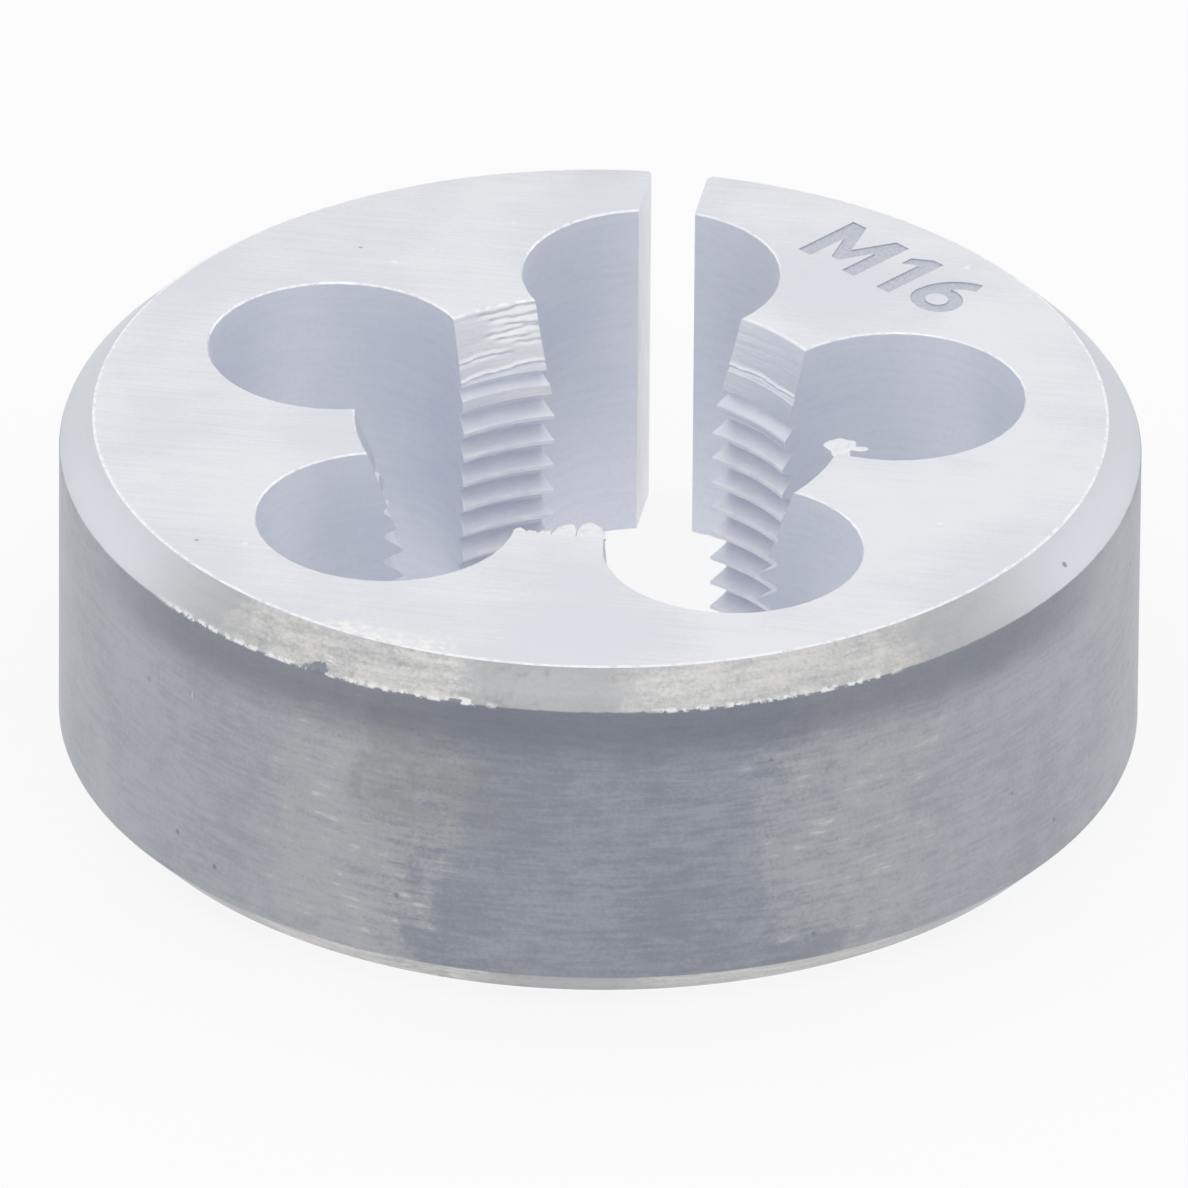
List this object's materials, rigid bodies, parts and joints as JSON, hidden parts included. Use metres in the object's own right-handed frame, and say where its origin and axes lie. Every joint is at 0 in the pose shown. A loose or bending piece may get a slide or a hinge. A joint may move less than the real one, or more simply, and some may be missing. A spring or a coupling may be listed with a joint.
{
  "type": "round threading die",
  "caption": "Round split threading die: a steel disc with a threaded bore, lead cones, chip holes that open into the bore, and a slit with a vee notch at the rim.",
  "frame": {"origin": "centre of the back face, on the axis of the bore; the die lies on that face", "axes": "+Z along the axis of the bore, out of the marked face with the long lead; +Y from the axis out through the slit"},
  "size_m": [0.038, 0.0379, 0.013],
  "materials": {
    "tool_steel": "ground"
  },
  "bodies": {
    "root": {"threading_die": "tool_steel"}
  },
  "joints": []
}
